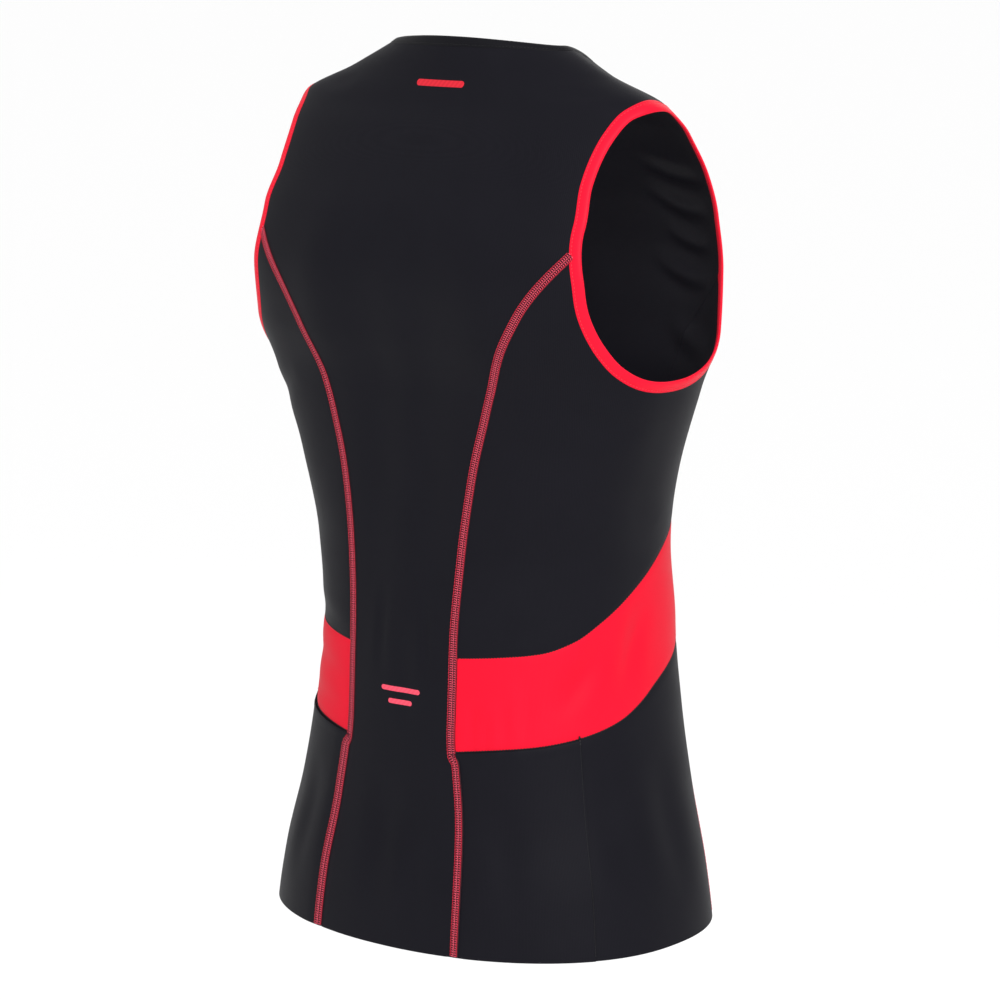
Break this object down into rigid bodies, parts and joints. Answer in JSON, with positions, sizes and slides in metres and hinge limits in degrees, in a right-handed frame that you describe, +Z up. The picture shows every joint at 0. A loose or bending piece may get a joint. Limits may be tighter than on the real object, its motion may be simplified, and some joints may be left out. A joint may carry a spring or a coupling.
{
  "type": "triathlon top",
  "caption": "Sleeveless stretch-knit triathlon top, hollow and filled out as worn, with contrast waist bands, armhole bindings and rear side pockets.",
  "frame": {"origin": "midway between the two high shoulder points at the sides of the neck, where the wearer's shoulders carry the top", "axes": "+Z up along the wearer's spine, +Y towards the wearer's back, so the front faces -Y and the wearer's right side is at -X"},
  "size_m": [0.3632, 0.2558, 0.6474],
  "materials": {
    "black_knit": "smooth matt stretch knit with a slight sheen, blue-grey black",
    "black_binding": "folded stretch binding, black",
    "red_knit": "smooth stretch knit with a slight sheen, bright red",
    "red_binding": "folded stretch binding, bright red"
  },
  "bodies": {
    "root": {"back_panel": "black_knit", "front_panel": "black_knit", "side_upper_right": "black_knit", "side_upper_left": "black_knit", "side_band_right": "red_knit", "side_band_left": "red_knit", "side_lower_right": "black_knit", "side_lower_left": "black_knit", "pocket_right": "black_knit", "pocket_left": "black_knit", "neck_binding": "black_binding", "armhole_binding_right": "red_binding", "armhole_binding_left": "red_binding"}
  },
  "joints": []
}
